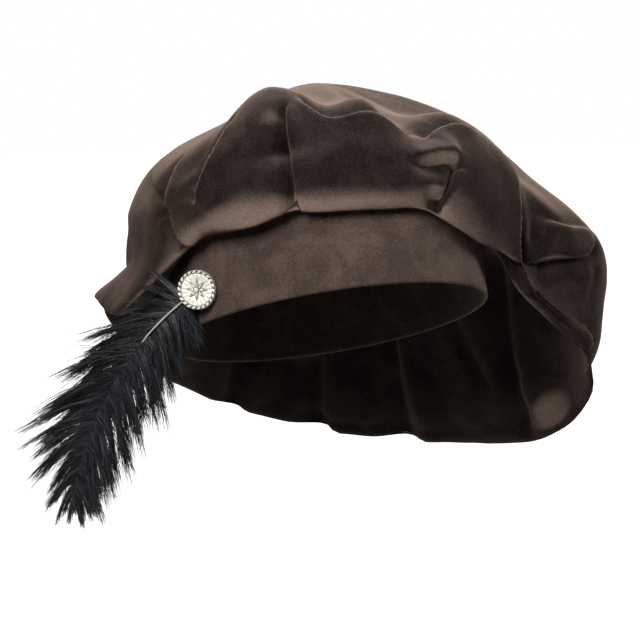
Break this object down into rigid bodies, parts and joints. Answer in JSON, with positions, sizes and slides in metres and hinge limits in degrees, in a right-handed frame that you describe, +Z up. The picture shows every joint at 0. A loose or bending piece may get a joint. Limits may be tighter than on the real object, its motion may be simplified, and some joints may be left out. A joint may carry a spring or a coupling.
{
  "type": "tudor beret",
  "caption": "Soft pleated velvet beret with an upright head band, a full crown drooping to one side, and a cast button holding a curled plume.",
  "frame": {"origin": "centre of the head opening, in the plane of the band's lower edge, where the hat sits on a head", "axes": "+Z up as worn, -Y the way the wearer faces, +X the wearer's left; the band is tilted 17.5 degrees, front up"},
  "size_m": [0.3154, 0.2568, 0.2401],
  "materials": {
    "crown_velvet": "pile velvet",
    "band_velvet": "pile velvet",
    "button_metal": "aged silver coloured casting",
    "post_metal": "plain",
    "plume_black": "dyed ostrich barbs",
    "quill_grey": null
  },
  "bodies": {
    "root": {"crown": "crown_velvet", "head_band": "band_velvet", "button": "button_metal", "button_post": "post_metal", "plume": "plume_black", "plume_quill": "quill_grey"}
  },
  "joints": []
}
